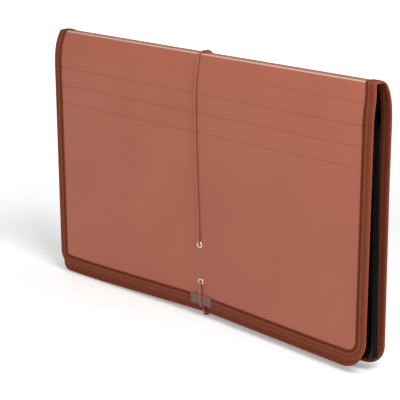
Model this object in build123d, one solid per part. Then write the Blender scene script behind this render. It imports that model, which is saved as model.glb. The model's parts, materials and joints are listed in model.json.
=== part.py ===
from build123d import *
import math
import os

# Accordion file folder. Millimetres, +X to the right seen from the front, +Y to the back, +Z up.
# The origin is on the floor, in the middle of the overall width and depth.

# Cover: one scored sheet that forms the back, the crest and the flap
FILE_WIDTH = 376.0
FILE_HEIGHT = 240.0
COVER_SHEET = 1.0
SPINE_WIDTH = 12.0
CREASE_PITCH = 17.0
CORNER_RADIUS = 10.0
FLAP_BOTTOM = 9.3
FLAP_GAP = 3.3
FRONT_DROP = 36.0

# The closed elastic draws the flap and the front panel in along their middle, most at the floor.
# Two flat triangles of each sheet lean in, from the side and the top limits given here.
BOW = 7.5
BOW_SIDE = 23.0
BOW_DROP = 4.0

# Ribbon that binds the cover's edges
RIBBON = 0.6
RIBBON_WIDTH = 10.0

# Pockets
POCKETS = 5
POCKET_GAP = 1.6
POCKET_PULL = 8.0
DIVIDER_SHEET = 0.6
DIVIDER_DROP = 32.0
COVER_FLANGE = 11.0
TAB_WIDTH = 52.0
TAB_RISE = 9.0
TAB_OVERLAP = 12.0
TAB_SHEET = 0.5
TAB_CORNER = 3.0

# Pleats of the accordion
PLEAT_FILM = 0.4
PLEAT_WIDTH = 12.0
PLEAT_DROP = 38.0

# Elastic, eyelets and tag, all on the flap's centre line
ELASTIC = 2.1
LOWER_EYELET_Z = 33.4
UPPER_EYELET_Z = 69.5
EYELET_BORE = 3.6
EYELET_WALL = 0.25
EYELET_FLANGE = 6.2
EYELET_RIM = 0.5
EYELET_ROUND = 0.4
TAG_WIDTH = 25.0
TAG_HEIGHT = 10.5
TAG_SHEET = 0.5
NOTCH_WIDTH = 4.0
ELASTIC_BEND = 2.1
SOFT_BEND = 8.0
SETTLE_RUN = 40.0
BEND_SHARE = 0.97

# Clearances
CREASE_CLEAR = 0.1
REAR_CREASE_CLEAR = 0.5
RIBBON_SETBACK = 1.4
REAR_RIBBON_SETBACK = 2.2
PIVOT_CLEAR = 0.1
FOLD_CLEAR = 0.3
MITRE_CLEAR = 0.25
ELASTIC_CLEAR = 0.1
FLOOR_CLEAR = 0.3
OVERCUT = 1.0

# Depths, from the elastic on the flap in front to the elastic over the ribbon behind
elastic_radius = ELASTIC / 2
elastic_lie = COVER_SHEET / 2 + ELASTIC_CLEAR + elastic_radius
front_reach = ELASTIC_CLEAR + ELASTIC
back_reach = RIBBON + ELASTIC_CLEAR + ELASTIC
pocket_depth = POCKETS * POCKET_GAP + (POCKETS - 1) * DIVIDER_SHEET
cover_depth = COVER_SHEET + FLAP_GAP + COVER_SHEET + BOW + pocket_depth + COVER_SHEET
overall_depth = front_reach + cover_depth + back_reach
flap_outer_y = -overall_depth / 2 + front_reach
flap_mid_y = flap_outer_y + COVER_SHEET / 2
flap_inner_y = flap_outer_y + COVER_SHEET
front_outer_y = flap_inner_y + FLAP_GAP
front_inner_y = front_outer_y + COVER_SHEET
back_inner_y = front_inner_y + BOW + pocket_depth
back_mid_y = back_inner_y + COVER_SHEET / 2
back_outer_y = back_inner_y + COVER_SHEET

# Widths and heights
sheet_half = FILE_WIDTH / 2 - RIBBON
pocket_half = FILE_WIDTH / 2 - COVER_FLANGE
pocket_bottom = COVER_FLANGE
front_top = FILE_HEIGHT - FRONT_DROP
divider_top = FILE_HEIGHT - DIVIDER_DROP
pleat_top = FILE_HEIGHT - PLEAT_DROP
sheet_corner = CORNER_RADIUS - RIBBON
half_sheet = COVER_SHEET / 2
crest_z = FILE_HEIGHT - half_sheet
crease_2_z = FILE_HEIGHT - 2 * CREASE_PITCH
crease_3_z = crease_2_z - CREASE_PITCH
crease_4_z = crease_3_z - CREASE_PITCH
bow_top = crease_4_z - BOW_DROP
bow_half = FILE_WIDTH / 2 - BOW_SIDE

# Arch of the two covers towards the crest, tangent to the upright part below it
arch_lean = (back_mid_y - flap_mid_y - SPINE_WIDTH) / 2
arch_rise = crest_z - crease_2_z
arch_angle = 2 * math.atan(arch_lean / arch_rise)
arch_radius = arch_rise / math.sin(arch_angle)
rear_crease = (back_mid_y - arch_lean, crest_z)
front_crease = (flap_mid_y + arch_lean, crest_z)

# Pleat hinges: each strip turns about its rounded edge, just clear of the sheet that carries it
pleat_radius = PLEAT_FILM / 2
pleat_offset = pleat_radius + PIVOT_CLEAR
pleat_x = pocket_half - pleat_radius
pleat_z = pocket_bottom + pleat_radius

def block(x_range, y_range, z_range):
    """Box between two values on each axis."""
    sizes = [high - low for low, high in (x_range, y_range, z_range)]
    middle = [(high + low) / 2 for low, high in (x_range, y_range, z_range)]
    return Pos(*middle) * Box(*sizes)


def plate(half_width, y_range, z_range, corner):
    """Upright sheet whose two bottom corners are rounded."""
    sheet = block((-half_width, half_width), y_range, z_range)
    bottom_corners = sheet.edges().filter_by(Axis.Y).group_by(Axis.Z)[0]
    return fillet(bottom_corners, corner)


def bow_at(z):
    """How far the elastic draws the flap and the front panel in on the centre line."""
    return BOW * max(0, 1 - z / bow_top)


def triangle(corners, thickness):
    """Three-cornered sheet, as thick along Y as told."""
    return extrude(make_face(Polyline(*corners, close=True)), amount=thickness, dir=(0, 1, 0))


def drawn_in(y_range):
    """The two leaning triangles of a sheet, one on each side of the elastic."""
    low, high = y_range
    longer = 1 + OVERCUT / bow_top
    peak = (0, low, bow_top)
    foot = (0, low + BOW * longer, -OVERCUT)
    left = triangle([peak, (-bow_half * longer, low, -OVERCUT), foot], high - low)
    return left + mirror(left, about=Plane.YZ)


def bowed_plate(half_width, y_range, z_range, corner):
    """Upright sheet with rounded bottom corners, drawn in along its middle by the elastic."""
    low, high = y_range
    longer = 1 + OVERCUT / bow_top
    start = low - OVERCUT
    window = [
        (0, start, bow_top),
        (-bow_half * longer, start, -OVERCUT),
        (bow_half * longer, start, -OVERCUT),
    ]
    flat = plate(half_width, y_range, z_range, corner) - triangle(window, high - low + 2 * OVERCUT)
    return flat + (drawn_in(y_range) & plate(half_width, (low, high + BOW), z_range, corner))


def rod_x(y, z, radius, length):
    """Round bar along X."""
    return Pos(0, y, z) * Rot(0, 90, 0) * Cylinder(radius, length)


def rod_y(z, radius, y_range):
    """Round bar along Y on the centre line."""
    low, high = y_range
    return Pos(0, (low + high) / 2, z) * Rot(90, 0, 0) * Cylinder(radius, high - low)


def crease_bead(y, z):
    """Rounded edge of a sheet, on the line about which it folds."""
    return rod_x(y, z, half_sheet, 2 * sheet_half)


def notch(y_range):
    """Slot in a bottom edge that lets the elastic pass under it."""
    height = FLOOR_CLEAR + elastic_radius + ELASTIC_BEND + ELASTIC_CLEAR
    low, high = y_range
    half = NOTCH_WIDTH / 2
    return block((-half, half), (low - OVERCUT, high + OVERCUT), (-OVERCUT, height))


def bound_edge(form, y_range, z_range):
    """Folded ribbon round the left, bottom and right edges of an upright sheet of the given form."""
    low, high = y_range
    bottom, top = z_range
    proud = (low - RIBBON, high + RIBBON)
    cut = (low - 2 * RIBBON, high + 2 * RIBBON + BOW)
    inside = FILE_WIDTH / 2 - RIBBON_WIDTH
    ribbon = form(FILE_WIDTH / 2, proud, z_range, CORNER_RADIUS)
    ribbon -= block((-inside, inside), cut, (bottom + RIBBON_WIDTH, top + OVERCUT))
    ribbon -= form(sheet_half, y_range, (bottom + RIBBON, top + OVERCUT), sheet_corner)
    return ribbon


def side_ribbons(y_range, z_range, grow_y=0.0, grow_z=0.0):
    """Folded ribbon on the left and right edges of a flat strip of the cover."""
    strips = []
    for side in (-1, 1):
        outside = sorted((side * FILE_WIDTH / 2, side * (FILE_WIDTH / 2 - RIBBON_WIDTH)))
        core = sorted((side * sheet_half, side * (FILE_WIDTH / 2 - RIBBON_WIDTH - OVERCUT)))
        proud_y = (y_range[0] - grow_y, y_range[1] + grow_y)
        proud_z = (z_range[0] - grow_z, z_range[1] + grow_z)
        strips.append(block(outside, proud_y, proud_z) - block(core, y_range, z_range))
    return Compound(children=strips)


def arch(side, thickness, clear_low, clear_high, x_range):
    """Curved stretch of cover below the crest: side +1 is the back, -1 the flap.

    The clearances are measured along the sheet from the lower and upper end of the arch.
    """
    foot_y = back_mid_y if side > 0 else flap_mid_y
    centre_y = foot_y - side * arch_radius
    low = clear_low / arch_radius
    high = arch_angle - clear_high / arch_radius

    def at(radius, angle):
        return (centre_y + side * radius * math.cos(angle), crease_2_z + radius * math.sin(angle))

    inner = arch_radius - thickness / 2
    outer = arch_radius + thickness / 2
    middle = (low + high) / 2
    outline = [
        ThreePointArc(at(outer, low), at(outer, middle), at(outer, high)),
        Line(at(outer, high), at(inner, high)),
        ThreePointArc(at(inner, high), at(inner, middle), at(inner, low)),
        Line(at(inner, low), at(outer, low)),
    ]
    face = Plane.YZ * make_face(outline)
    x_low, x_high = x_range
    return Pos(x_low, 0, 0) * extrude(face, amount=x_high - x_low, dir=(1, 0, 0))


def arch_ribbons(side, clear_low, clear_high):
    """Folded ribbon on the left and right edges of an arch."""
    strips = []
    for hand in (-1, 1):
        outside = sorted((hand * FILE_WIDTH / 2, hand * (FILE_WIDTH / 2 - RIBBON_WIDTH)))
        core = sorted((hand * sheet_half, hand * (FILE_WIDTH / 2 - RIBBON_WIDTH - OVERCUT)))
        ribbon = arch(side, COVER_SHEET + 2 * RIBBON, clear_low, clear_high, outside)
        strips.append(ribbon - arch(side, COVER_SHEET, clear_low, clear_high, core))
    return strips


def back_cover():
    """Back panel and its ribbon, standing on the floor and leaning in below the crest."""
    depth = (back_inner_y, back_outer_y)
    full = (-sheet_half, sheet_half)
    stop = half_sheet + REAR_CREASE_CLEAR
    panel = plate(sheet_half, depth, (RIBBON, crease_2_z), sheet_corner)
    panel += arch(1, COVER_SHEET, 0, stop, full)
    panel -= notch(depth)
    ribbon = bound_edge(plate, depth, (0, crease_2_z))
    ribbon -= notch((depth[0] - RIBBON, depth[1] + RIBBON))
    for strip in arch_ribbons(1, 0, REAR_RIBBON_SETBACK):
        ribbon += strip
    return {"back_panel": panel, "back_binding": ribbon}


def crest():
    """Flat spine along the top, hinged on the back panel's upper edge."""
    front_stop = front_crease[0] + half_sheet + CREASE_CLEAR
    height = (crest_z - half_sheet, crest_z + half_sheet)
    spine = block((-sheet_half, sheet_half), (front_stop, rear_crease[0]), height)
    spine += crease_bead(*rear_crease)
    run = (front_crease[0] + RIBBON_SETBACK, rear_crease[0] - REAR_RIBBON_SETBACK)
    return {"spine": spine, "spine_binding": side_ribbons(run, height, grow_z=RIBBON)}


def flap_strips():
    """Three strips between the creases at the top of the flap."""
    full = (-sheet_half, sheet_half)
    depth = (flap_outer_y, flap_inner_y)
    stop = half_sheet + CREASE_CLEAR
    strip_1 = arch(-1, COVER_SHEET, stop, 0, full) + crease_bead(*front_crease)
    parts = {
        "flap_strip_1": strip_1,
        "flap_strip_1_binding": Compound(children=arch_ribbons(-1, RIBBON_SETBACK, RIBBON_SETBACK)),
    }
    creases = (crease_2_z, crease_3_z, crease_4_z)
    for number, (top, bottom) in enumerate(zip(creases, creases[1:]), start=2):
        strip = block(full, depth, (bottom + stop, top)) + crease_bead(flap_mid_y, top)
        run = (bottom + RIBBON_SETBACK, top - RIBBON_SETBACK)
        parts[f"flap_strip_{number}"] = strip
        parts[f"flap_strip_{number}_binding"] = side_ribbons(depth, run, grow_y=RIBBON)
    return parts


def eyelet(z):
    """Pressed eyelet: a barrel through the flap with a rounded flange on each face."""
    bore = EYELET_BORE / 2
    barrel = bore + EYELET_WALL
    through = (flap_outer_y - EYELET_RIM, flap_inner_y + EYELET_RIM)
    ring = rod_y(z, barrel, through)
    for y_range in ((through[0], flap_outer_y), (flap_inner_y, through[1])):
        ring += rod_y(z, EYELET_FLANGE / 2, y_range)
    rims = [edge for edge in ring.edges().filter_by(GeomType.CIRCLE) if edge.center().Y in through]
    outer_rims = [edge for edge in rims if edge.radius > barrel]
    ring = fillet(outer_rims, EYELET_ROUND)
    return ring - rod_y(z, bore, (through[0] - OVERCUT, through[1] + OVERCUT))


def eyelet_seat(z):
    """What the flap panel gives way to under an eyelet: the barrel and both flanges."""
    through = (flap_outer_y - EYELET_RIM, flap_inner_y + EYELET_RIM)
    seat = rod_y(z, EYELET_BORE / 2 + EYELET_WALL, through)
    for y_range in ((through[0], flap_outer_y), (flap_inner_y, through[1])):
        seat += rod_y(z, EYELET_FLANGE / 2, y_range)
    return seat


def flap():
    """Flap panel with its ribbon, eyelets and bare tag."""
    depth = (flap_outer_y, flap_inner_y)
    panel = bowed_plate(sheet_half, depth, (FLAP_BOTTOM + RIBBON, crease_4_z), sheet_corner)
    panel += crease_bead(flap_mid_y, crease_4_z)
    eyelets = []
    for z in (LOWER_EYELET_Z, UPPER_EYELET_Z):
        ring = Pos(0, bow_at(z), 0) * eyelet(z)
        panel -= Pos(0, bow_at(z), 0) * eyelet_seat(z)
        eyelets.append(ring)
    tag_face = flap_outer_y - RIBBON
    tag = drawn_in((tag_face - TAG_SHEET, tag_face)) & block(
        (-TAG_WIDTH / 2, TAG_WIDTH / 2),
        (tag_face - TAG_SHEET, tag_face + BOW),
        (FLAP_BOTTOM, FLAP_BOTTOM + TAG_HEIGHT),
    )
    return {
        "flap_panel": panel,
        "flap_binding": bound_edge(bowed_plate, depth, (FLAP_BOTTOM, crease_4_z - RIBBON_SETBACK)),
        "flap_eyelets": Compound(children=eyelets),
        "flap_tag": tag,
    }


def front_cover():
    """Front panel of the first pocket, with its ribbon, standing on the floor."""
    depth = (front_outer_y, front_inner_y)
    panel = bowed_plate(sheet_half, depth, (RIBBON, front_top), sheet_corner)
    ribbon = bound_edge(bowed_plate, depth, (0, front_top))
    slot = notch((depth[0] - RIBBON, depth[1] + RIBBON + BOW))
    panel -= slot
    ribbon -= slot
    return {"front_panel": panel, "front_binding": ribbon}


def divider_back_y(number):
    """Back face of a divider, counted from the back panel."""
    return back_inner_y - number * POCKET_GAP - (number - 1) * DIVIDER_SHEET


def dividers():
    """Divider sheets, each with an index tab, stepped across the width."""
    parts = {}
    count = POCKETS - 1
    step = 2 * pocket_half / count
    for number in range(1, count + 1):
        back = divider_back_y(number)
        front = back - DIVIDER_SHEET
        parts[f"divider_{number}"] = block(
            (-pocket_half, pocket_half), (front, back), (pocket_bottom, divider_top)
        )
        centre = -pocket_half + (number - 0.5) * step
        tab = block(
            (centre - TAB_WIDTH / 2, centre + TAB_WIDTH / 2),
            (front - TAB_SHEET, front),
            (divider_top - TAB_OVERLAP, divider_top + TAB_RISE),
        )
        corners = tab.edges().filter_by(Axis.Y).group_by(Axis.Z)[-1]
        parts[f"index_tab_{number}"] = fillet(corners, TAB_CORNER)
    return parts


def pleat_lean(gap):
    """Angle in degrees of a pleat's two strips between sheets that are this far apart."""
    spread = gap / 2 - pleat_offset - pleat_radius - FOLD_CLEAR / 2
    return math.degrees(math.asin(spread / PLEAT_WIDTH))


def pleat_section(toward, gap):
    """Outline of a strip across its width: rounded ends, folded in from the X axis at rest."""
    strip = Pos(-PLEAT_WIDTH / 2, 0) * SlotCenterToCenter(PLEAT_WIDTH, PLEAT_FILM)
    return Rot(0, 0, -toward * pleat_lean(gap)) * strip


def mitre(sign, hand):
    """Slanted plane between the side strips (sign +1) and the base strips (-1) at a bottom corner."""
    normal = Vector(sign * hand, 0, sign).normalized()
    corner = Vector(hand * pleat_x, 0, pleat_z) + normal * (MITRE_CLEAR / 2)
    return Plane(origin=corner, x_dir=(0, 1, 0), z_dir=normal)


def side_pleat(axis_y, toward, gap):
    """Upright strip on the right: toward is the Y direction in which its fold points."""
    section = Pos(pleat_x, axis_y, pocket_bottom) * pleat_section(toward, gap)
    strip = extrude(section, amount=pleat_top - pocket_bottom, dir=(0, 0, 1))
    return split(strip, bisect_by=mitre(1, 1), keep=Keep.TOP)


def base_pleat(axis_y, toward):
    """Lying strip along the pockets' bottom, folded upwards."""
    section = Plane(origin=(-pocket_half, axis_y, pleat_z), x_dir=(0, 0, -1), z_dir=(1, 0, 0))
    strip = extrude(section * pleat_section(toward, POCKET_GAP), amount=2 * pocket_half, dir=(1, 0, 0))
    for hand in (-1, 1):
        strip = split(strip, bisect_by=mitre(-1, hand), keep=Keep.TOP)
    return strip


def pleats():
    """Two strips on each side and two along the base of every pocket.

    The front pocket is wider at its sides, where the front panel isn't drawn in.
    """
    parts = {}
    for pocket in range(1, POCKETS + 1):
        rear_face = back_inner_y if pocket == 1 else divider_back_y(pocket - 1) - DIVIDER_SHEET
        side_face = rear_face - POCKET_GAP
        base_face = side_face
        if pocket == POCKETS:
            side_face = front_inner_y
            base_face = front_inner_y + bow_at(pleat_z)
        gap = rear_face - side_face
        axes = {
            "rear": (rear_face - pleat_offset, rear_face - pleat_offset, -1),
            "front": (side_face + pleat_offset, base_face + pleat_offset, 1),
        }
        for place, (side_y, base_y, toward) in axes.items():
            right = side_pleat(side_y, toward, gap)
            parts[f"pleat_right_{pocket}_{place}"] = right
            parts[f"pleat_left_{pocket}_{place}"] = mirror(right, about=Plane.YZ)
            parts[f"pleat_base_{pocket}_{place}"] = base_pleat(base_y, toward)
            print(f"pleat {pocket} {place}: axis y {side_y:.3f} at the sides, {base_y:.3f} at the base")
        turn = math.radians(pleat_lean(gap + POCKET_PULL) - pleat_lean(gap))
        print(f"pleat {pocket}: {turn / POCKET_PULL * 1000:.4f} radians per metre at the sides")
    return parts


def cord(points, radii):
    """Round elastic along straight runs and arcs in the middle plane, from its (y, z) corners."""
    path = FilletPolyline(*[(0, y, z) for y, z in points], radius=radii)
    section = Plane(origin=path @ 0, z_dir=path % 0) * Circle(elastic_radius)
    tube = sweep(section, path=path)
    print(f"elastic run: length {path.length:.1f}, volume over section {tube.volume / section.area:.1f}")
    return tube


def arch_corners(side):
    """Corners of the elastic's way over one arch: below it, on it and at the crest."""
    foot_y = back_mid_y if side > 0 else flap_mid_y
    outside = arch_radius + elastic_lie
    corner_z = crease_2_z + outside * math.tan(arch_angle / 2)
    lean = math.tan(arch_angle) * (crest_z + elastic_lie - corner_z)
    upright = foot_y + side * elastic_lie
    return [(upright, corner_z), (upright - side * lean, crest_z + elastic_lie)]


def elastic():
    """Elastic loop: through the eyelets, up the flap, over the crest, down the back and underneath."""
    front_y = flap_outer_y - EYELET_RIM - ELASTIC_CLEAR - elastic_radius
    behind_y = flap_inner_y + EYELET_RIM + ELASTIC_CLEAR + elastic_radius
    tag_y = flap_outer_y - RIBBON - TAG_SHEET - ELASTIC_CLEAR - elastic_radius
    low_back_y = overall_depth / 2 - elastic_radius
    floor_z = FLOOR_CLEAR + elastic_radius
    lying_y = flap_mid_y - elastic_lie
    eyelet_bend = BEND_SHARE * (1 - BOW / bow_top) * (behind_y - front_y) / 2
    crest_bend = elastic_lie
    arch_bend = BEND_SHARE * (arch_radius + elastic_lie)
    flap_way = [
        (tag_y, FLAP_BOTTOM + ELASTIC_CLEAR),
        (tag_y, FLAP_BOTTOM + TAG_HEIGHT + ELASTIC),
        (front_y, LOWER_EYELET_Z - EYELET_FLANGE),
        (front_y, LOWER_EYELET_Z),
        (behind_y, LOWER_EYELET_Z),
        (behind_y, UPPER_EYELET_Z),
        (front_y, UPPER_EYELET_Z),
        (front_y, UPPER_EYELET_Z + EYELET_FLANGE),
        (lying_y, UPPER_EYELET_Z + SETTLE_RUN),
        (lying_y, bow_top),
        (lying_y, crease_4_z),
    ]
    flap_run = cord(
        [(y + bow_at(z), z) for y, z in flap_way],
        [SOFT_BEND, SOFT_BEND] + [eyelet_bend] * 4 + [SOFT_BEND] * 3,
    )
    back_lying_y = back_mid_y + elastic_lie
    crest_way = arch_corners(-1) + arch_corners(1)[::-1]
    crest_run = cord(
        [(lying_y, crease_4_z)] + crest_way + [(back_lying_y, crease_3_z)],
        [arch_bend, crest_bend, crest_bend, arch_bend],
    )
    low_run = (low_back_y, FLAP_BOTTOM)
    back_run = cord(
        [
            (back_lying_y, crease_3_z),
            (back_lying_y, RIBBON_WIDTH + SETTLE_RUN),
            (low_back_y, RIBBON_WIDTH + ELASTIC),
            low_run,
        ],
        [SOFT_BEND, SOFT_BEND],
    )
    front_foot_y = tag_y + bow_at(FLAP_BOTTOM)
    bottom_run = cord(
        [low_run, (low_back_y, floor_z), (front_foot_y, floor_z), (front_foot_y, FLAP_BOTTOM)],
        [ELASTIC_BEND, ELASTIC_BEND],
    )
    return {
        "elastic_flap_run": flap_run,
        "elastic_crest_run": crest_run,
        "elastic_back_run": back_run,
        "elastic_bottom_run": bottom_run,
    }


os.makedirs("parts", exist_ok=True)
all_parts = {}
for group in (back_cover, crest, flap_strips, flap, front_cover, dividers, pleats, elastic):
    all_parts.update(group())
for name, shape in all_parts.items():
    export_step(shape, f"parts/{name}.step")

print(f"nodes {len(all_parts)}")
print(f"creases y, z: rear {rear_crease}, front {front_crease}, flap y {flap_mid_y:.3f}")
print(f"creases below the crest at z {crease_2_z}, {crease_3_z}, {crease_4_z}")
print(f"pleat axes x {pleat_x:.3f}, z {pleat_z:.3f}")
print(f"back panel's inner face y {back_inner_y:.3f}, front foot y {front_outer_y + half_sheet:.3f}")
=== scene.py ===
# %% [markdown]
# # An accordion file, closed with its elastic
# The file is one scored plastic sheet that makes the back, the crest and the flap, with a front panel,
# black pleats and dividers behind it. Its edges are bound with ribbon, and an elastic holds it shut.
# The CAD model is loaded first, as a frame that stays where it is: every new piece is built in the same
# metres, so nothing has to be fitted by eye.

# %% Load the frame
import json
import math

import bmesh
import bpy
from mathutils import Matrix, Quaternion, Vector

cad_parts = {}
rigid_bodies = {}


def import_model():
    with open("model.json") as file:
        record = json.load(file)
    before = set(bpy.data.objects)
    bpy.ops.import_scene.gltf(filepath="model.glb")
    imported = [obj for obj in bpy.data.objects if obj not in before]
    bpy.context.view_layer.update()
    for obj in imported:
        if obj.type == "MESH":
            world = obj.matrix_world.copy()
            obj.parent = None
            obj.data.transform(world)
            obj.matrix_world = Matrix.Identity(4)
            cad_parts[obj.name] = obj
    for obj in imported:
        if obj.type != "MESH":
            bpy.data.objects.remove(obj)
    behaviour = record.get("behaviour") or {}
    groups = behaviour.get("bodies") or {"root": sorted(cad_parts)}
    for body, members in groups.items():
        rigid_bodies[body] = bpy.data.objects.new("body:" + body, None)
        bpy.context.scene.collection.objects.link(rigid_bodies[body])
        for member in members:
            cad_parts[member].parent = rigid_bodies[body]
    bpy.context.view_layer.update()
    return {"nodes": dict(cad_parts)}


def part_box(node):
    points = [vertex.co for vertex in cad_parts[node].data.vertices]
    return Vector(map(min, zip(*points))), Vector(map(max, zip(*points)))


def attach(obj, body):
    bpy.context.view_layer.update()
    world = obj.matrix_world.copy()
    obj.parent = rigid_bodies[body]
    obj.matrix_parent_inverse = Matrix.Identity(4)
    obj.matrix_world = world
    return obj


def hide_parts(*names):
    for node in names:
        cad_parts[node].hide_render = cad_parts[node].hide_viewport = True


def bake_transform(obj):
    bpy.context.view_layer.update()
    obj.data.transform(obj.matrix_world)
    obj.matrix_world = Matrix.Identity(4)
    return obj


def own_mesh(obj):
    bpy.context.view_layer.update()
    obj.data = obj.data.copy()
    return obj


for leftover in list(bpy.data.objects):
    bpy.data.objects.remove(leftover)
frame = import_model()


# %% [markdown]
# The drawing is in millimetres and Blender works in metres. A small helper turns one into the other, so
# that the numbers below can be compared with the drawing.

# %% Millimetres
MM = 0.001


def mm(x, y, z):
    """A point of the drawing, in metres."""
    return Vector((x, y, z)) * MM


print("one millimetre is", mm(1, 0, 0).x, "m")

# %% [markdown]
# The camera stands to the right of the file and a little above it, with a long lens, as in the
# photograph. Its place came from matching the outline, the creases and the eyelets. A track quaternion
# aims it, and a small roll levels the picture in the same way.

# %% Camera
LENS = 115.8
CAMERA_PLACE, CAMERA_TARGET = mm(756.85, -778.85, 432.42), mm(4.95, -12.65, 112.5)
CAMERA_ROLL = -0.2


def aim(thing, place, target, roll=0.0):
    """Put a camera or lamp at a place and point it at a target."""
    thing.location = place
    thing.rotation_mode = "QUATERNION"
    look = (target - place).to_track_quat("-Z", "Y")
    thing.rotation_quaternion = look @ Quaternion((0, 0, 1), math.radians(roll))


def put(name, data):
    """A new object in the scene, at the origin."""
    made = bpy.data.objects.new(name, data)
    bpy.context.scene.collection.objects.link(made)
    return made


camera = put("camera", bpy.data.cameras.new("camera"))
camera.data.lens = LENS
camera.data.sensor_width = 36
camera.data.clip_start = 0.01
bpy.context.scene.camera = camera
aim(camera, CAMERA_PLACE, CAMERA_TARGET, CAMERA_ROLL)
bpy.context.scene.view_settings.view_transform = "Standard"
print("camera", tuple(round(v, 3) for v in camera.location), "lens", camera.data.lens)

# %% [markdown]
# Materials come next, because the floor needs one. Each finish is a Principled shader. Values that are
# the same all over the surface are set on its own sockets, and only what varies is made with nodes. The
# helper below adds a node and links or sets its inputs by name, which keeps the recipes short.


# %% Helpers for finishes
def srgb(red, green, blue):
    """A colour as a picture editor shows it, 0 to 255, as the linear colour that shaders use."""
    parts = [v / 255 for v in (red, green, blue)]
    return tuple(v / 12.92 if v <= 0.04045 else ((v + 0.055) / 1.055) ** 2.4 for v in parts)


def finish(name, colour, roughness, **sockets):
    """A Principled material with its constant values set, its node tree and its shader."""
    made = bpy.data.materials.new(name)
    made.use_nodes = True
    shader = made.node_tree.nodes["Principled BSDF"]
    shader.inputs["Base Color"].default_value = (*colour, 1)
    shader.inputs["Roughness"].default_value = roughness
    for socket, value in sockets.items():
        shader.inputs[socket.replace("_", " ")].default_value = value
    return made, made.node_tree, shader


def add(tree, kind, settings=None, **inputs):
    """A new node. Inputs named a, b and c are the first three sockets, for the math nodes."""
    made = tree.nodes.new("ShaderNode" + kind)
    for key, value in (settings or {}).items():
        setattr(made, key, value)
    for key, value in inputs.items():
        socket = made.inputs["abc".index(key)] if key in "abc" else made.inputs[key.replace("_", " ")]
        if isinstance(value, bpy.types.NodeSocket):
            tree.links.new(value, socket)
        else:
            socket.default_value = value
    return made


print("middle grey is", round(srgb(128, 128, 128)[0], 3), "in a shader")

# %% [markdown]
# A few small recipes are used again and again: a sum, a colour ramp, a noise on the piece's own
# coordinates, a change of range and a bump. All but the bump give back a socket, so one can feed the next.


# %% Small recipes
def math_node(tree, operation, a, b=0.0):
    """One sum, as a socket."""
    return add(tree, "Math", {"operation": operation}, a=a, b=b).outputs[0]


def shades(tree, factor, *stops):
    """A colour ramp through (place, colour) stops, as a socket."""
    ramp = add(tree, "ValToRGB", Fac=factor)
    ramp.color_ramp.elements[0].position, first = stops[0]
    ramp.color_ramp.elements[0].color = (*first, 1)
    ramp.color_ramp.elements[1].position, last = stops[-1]
    ramp.color_ramp.elements[1].color = (*last, 1)
    for place, colour in stops[1:-1]:
        ramp.color_ramp.elements.new(place).color = (*colour, 1)
    return ramp.outputs["Color"]


def place_on(tree):
    """The place on the piece, in metres, as a socket."""
    return add(tree, "TexCoord").outputs["Object"]


def noise(tree, scale, detail=3.0, roughness=0.5):
    """A noise on the piece's own coordinates, as a socket."""
    made = add(tree, "TexNoise", Vector=place_on(tree), Scale=scale, Detail=detail, Roughness=roughness)
    return made.outputs["Fac"]


def spread(tree, value, low, high, start=0.0, end=1.0):
    """Move a value from start..end into low..high, and hold it there, as a socket."""
    made = add(tree, "MapRange", Value=value, From_Min=start, From_Max=end, To_Min=low, To_Max=high)
    return made.outputs["Result"]


def relief(tree, shader, height, strength, distance):
    """Bump the surface by a height between 0 and 1."""
    bump = add(tree, "Bump", Strength=strength, Distance=distance, Height=height)
    tree.links.new(bump.outputs["Normal"], shader.inputs["Normal"])


print("recipes ready")

# %% [markdown]
# The floor is a plain pale sheet. A lit floor alone would come out light grey, so the camera is shown a
# little extra white on it, with Light Path, while the light that reaches the file stays as it is. There
# is more of it far from the file, where the lamps are weak, and little near it, where the file leaves its
# shadow.

# %% Floor
FLOOR_HALF, FLOOR_DROP = 9, 0.3
GLOW_NEAR, GLOW_FAR = 0.27, 0.9
GLOW_START, GLOW_END = 0.35, 1.3


def looked_at(tree, *kinds):
    """1 where a ray of one of these kinds arrives and 0 elsewhere, as a socket."""
    path = add(tree, "LightPath")
    seen = path.outputs[kinds[0]]
    for kind in kinds[1:]:
        seen = math_node(tree, "MAXIMUM", seen, path.outputs[kind])
    return seen


floor_finish, tree, shader = finish("pale_floor", (0.86, 0.86, 0.86), 0.9, Specular_IOR_Level=0.1)
shader.inputs["Emission Color"].default_value = (1, 1, 1, 1)
seen = looked_at(tree, "Is Camera Ray", "Is Glossy Ray", "Is Transmission Ray")
away = add(tree, "VectorMath", {"operation": "LENGTH"}, a=place_on(tree)).outputs["Value"]
glow = spread(tree, away, GLOW_NEAR, GLOW_FAR, GLOW_START, GLOW_END)
tree.links.new(math_node(tree, "MULTIPLY", seen, glow), shader.inputs["Emission Strength"])

bm = bmesh.new()
bmesh.ops.create_grid(bm, x_segments=1, y_segments=1, size=FLOOR_HALF)
bmesh.ops.translate(bm, verts=bm.verts, vec=mm(0, 0, -FLOOR_DROP))
floor = put("floor", bpy.data.meshes.new("floor"))
bm.to_mesh(floor.data)
bm.free()
floor.data.materials.append(floor_finish)
print("floor at", round(floor.data.vertices[0].co.z, 5), "m")

# %% [markdown]
# The world is treated in the same way: the camera sees plain white behind the file, and the file is lit
# by a third of it, which fills the shadows without flattening them.

# %% World
SKY_LIT, SKY_SEEN = 0.36, 1.0
world = bpy.context.scene.world or bpy.data.worlds.new("studio")
bpy.context.scene.world = world
world.use_nodes = True
sky = world.node_tree.nodes["Background"]
sky.inputs["Color"].default_value = (1, 1, 1, 1)
seen = looked_at(world.node_tree, "Is Camera Ray", "Is Transmission Ray")
world.node_tree.links.new(spread(world.node_tree, seen, SKY_LIT, SKY_SEEN), sky.inputs["Strength"])
print("world lights with", SKY_LIT)

# %% [markdown]
# Three soft boxes light the scene. The key stands in front, a little to the left and not high, so the
# flap is evenly lit. A smaller one hangs high on the right: it falls mostly on the floor and lays the
# faint shadow that the file has on its left. A long box overhead softens both on the crest. Their sum is
# kept at a plain level, at which a colour renders about as it is written.

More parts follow.
